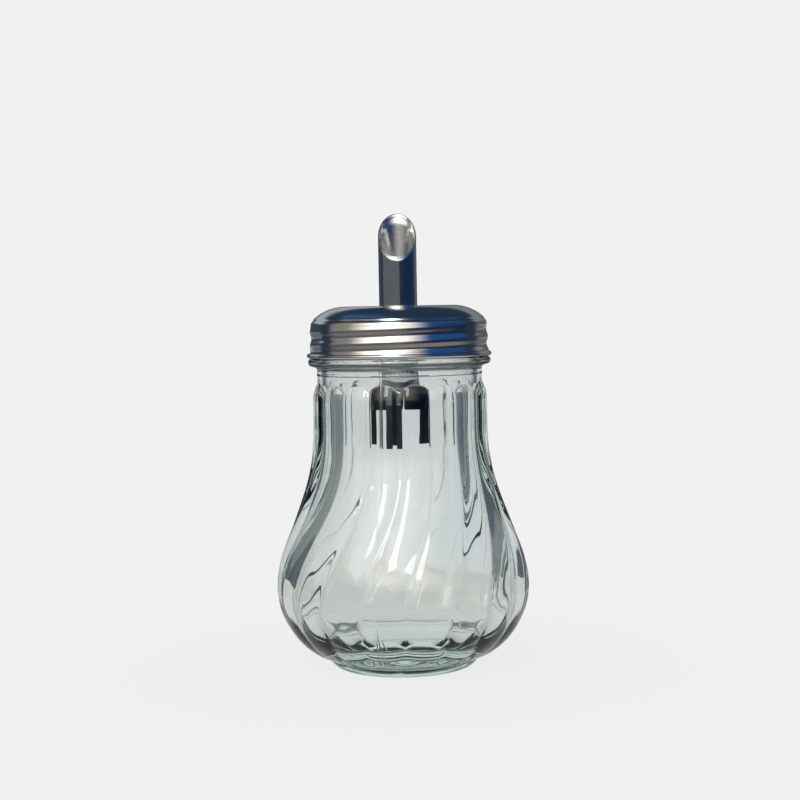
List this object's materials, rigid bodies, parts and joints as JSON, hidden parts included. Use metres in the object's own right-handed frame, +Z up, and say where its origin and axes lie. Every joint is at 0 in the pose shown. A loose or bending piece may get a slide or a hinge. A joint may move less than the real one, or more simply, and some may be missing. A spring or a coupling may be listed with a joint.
{
  "type": "sugar dispenser",
  "caption": "Pear-shaped ribbed glass sugar dispenser with a screwed steel cap, a slanted pouring tube and a metering head.",
  "frame": {"origin": "centre of the foot's resting plane, on the jar's axis", "axes": "+Z up along the jar's axis; the pouring tube's slanted mouth faces -Y"},
  "size_m": [0.089, 0.0882, 0.16],
  "materials": {
    "glass": "gloss",
    "steel": "polished",
    "dark_plastic": "satin",
    "seal": "matte"
  },
  "bodies": {
    "jar": {"glass_jar": "glass"},
    "seal": {"sealing_ring": "seal"},
    "lid": {"screw_cap": "steel", "pour_tube": "steel", "metering_dome": "steel", "metering_cage": "dark_plastic"}
  },
  "joints": [
    {"name": "cap_rise", "type": "slide", "parent": "jar", "child": "seal", "axis": [0, 0, 1], "range_m": [0, 0.00626]},
    {"name": "cap_turn", "type": "hinge", "parent": "seal", "child": "lid", "pos_m": [0, 0, 0.115], "axis": [0, 0, 1], "range_deg": [0, 450]}
  ],
  "couplings": [
    {"joint": "cap_rise", "follows": "cap_turn", "m_per_rad": 0.00079577}
  ]
}
